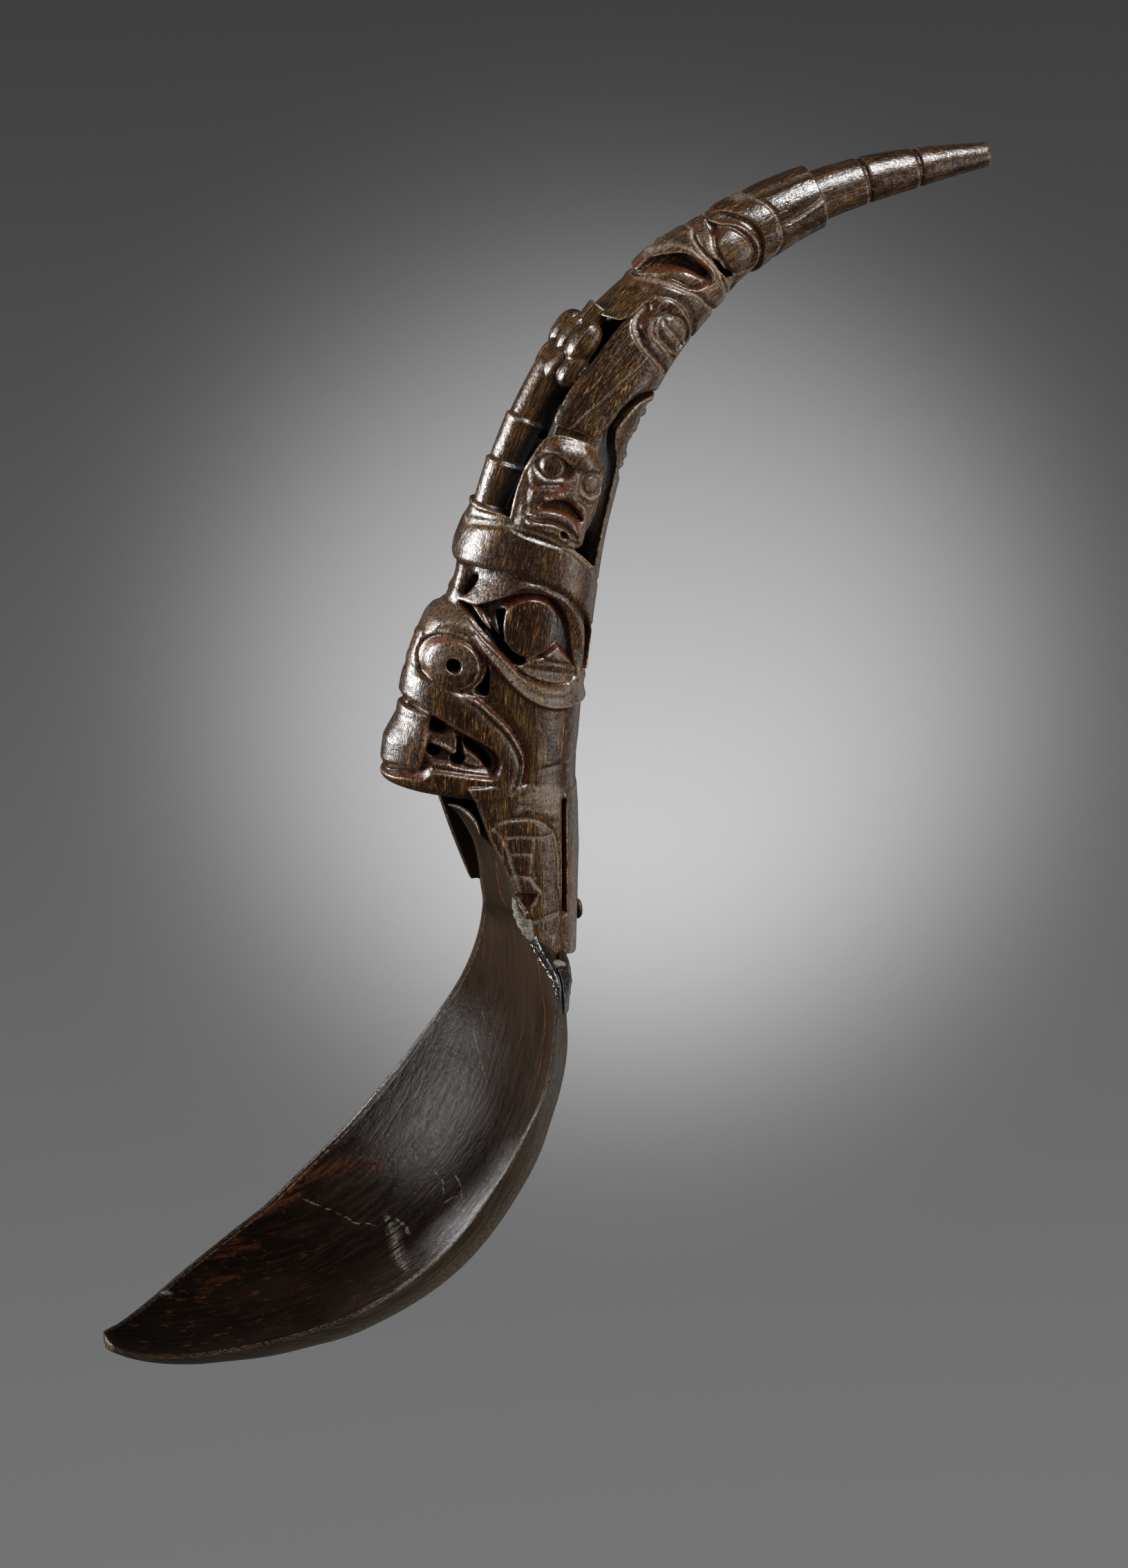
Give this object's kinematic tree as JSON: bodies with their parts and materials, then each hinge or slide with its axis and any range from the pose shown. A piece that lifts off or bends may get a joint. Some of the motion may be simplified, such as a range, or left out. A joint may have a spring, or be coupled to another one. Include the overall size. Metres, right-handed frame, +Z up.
{
  "type": "spoon",
  "caption": "Curved spoon of dark horn: a deep pointed bowl held in the split foot of a slender horn handle carved with a beast's head, small faces, wings and a bird's head.",
  "frame": {"origin": "middle of the spoon's extent in X and Y, at the height of the lowest point of the bowl", "axes": "+Z up with the handle standing over the bowl, -X where the bowl and the faces point, +X where the handle's tip points, Y across"},
  "size_m": [0.1842, 0.0668, 0.2321],
  "materials": {
    "bowl_horn": "worn polish with soft long highlights",
    "handle_horn": "polished horn with golden fibre streaks, dusty in the cuts",
    "rivet_copper": "darkened",
    "pitch": "black and glossy with a pale crust",
    "filler": "chalky"
  },
  "bodies": {
    "root": {"bowl": "bowl_horn", "handle": "handle_horn", "rivet": "rivet_copper", "pitch_bead": "pitch", "pitch_foot": "pitch", "filler_patch": "filler"}
  },
  "joints": []
}
